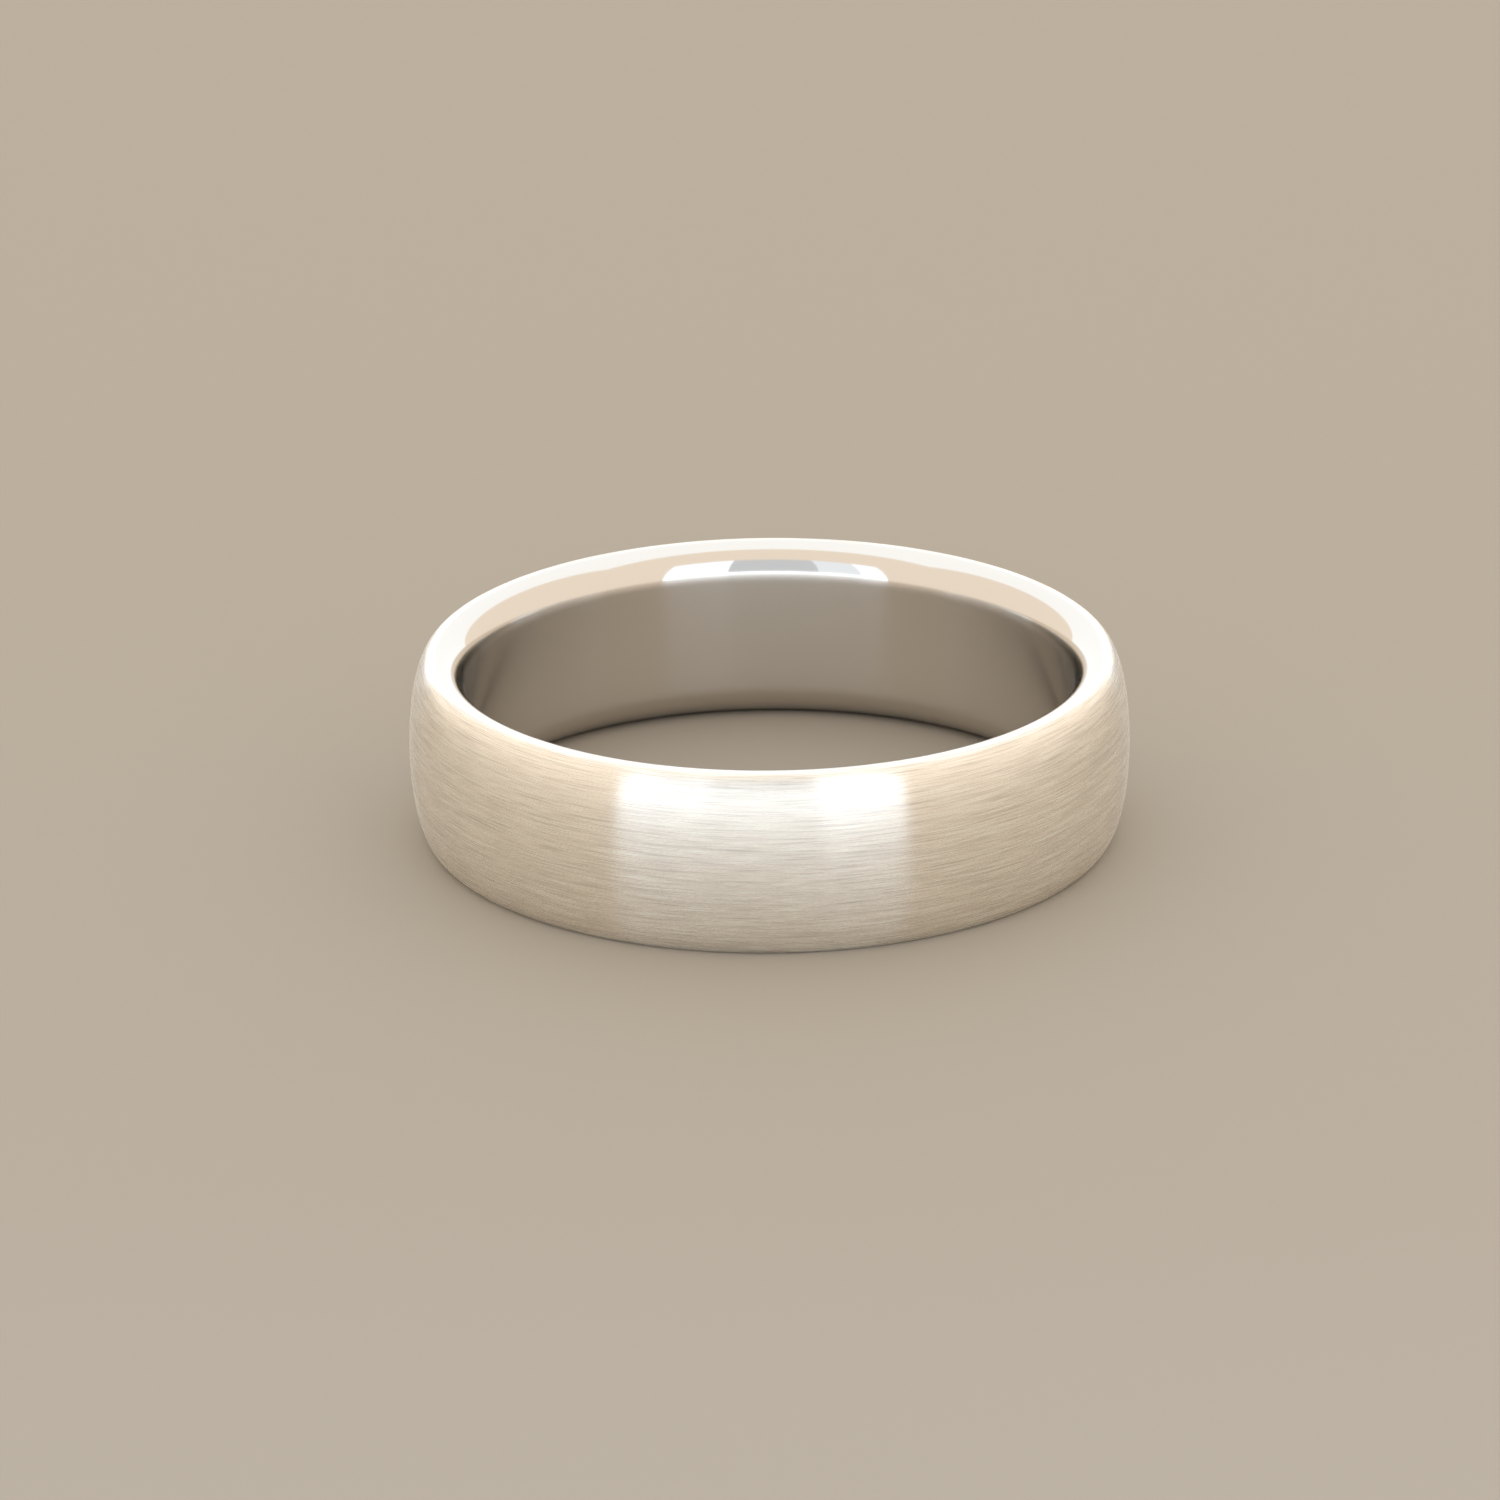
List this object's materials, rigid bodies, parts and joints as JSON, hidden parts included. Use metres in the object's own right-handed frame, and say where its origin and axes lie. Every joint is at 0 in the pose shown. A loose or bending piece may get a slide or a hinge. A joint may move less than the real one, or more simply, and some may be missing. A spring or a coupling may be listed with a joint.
{
  "type": "wedding band",
  "caption": "Plain domed comfort-fit ring with a brushed outside, narrow polished edges and a polished bore, worn on a finger.",
  "frame": {"origin": "on the finger axis, at the height of the edge the ring rests on", "axes": "+Z along the finger axis, from the resting edge to the other edge; the ring is the same all the way round, so +X and +Y point anywhere across it"},
  "size_m": [0.0232, 0.0232, 0.006],
  "materials": {
    "band_metal": "circumferential satin brushing on the domed outside and over the crest of each edge, mirror polish on the lips, duller polish in the bore"
  },
  "bodies": {
    "root": {"band": "band_metal"}
  },
  "joints": []
}
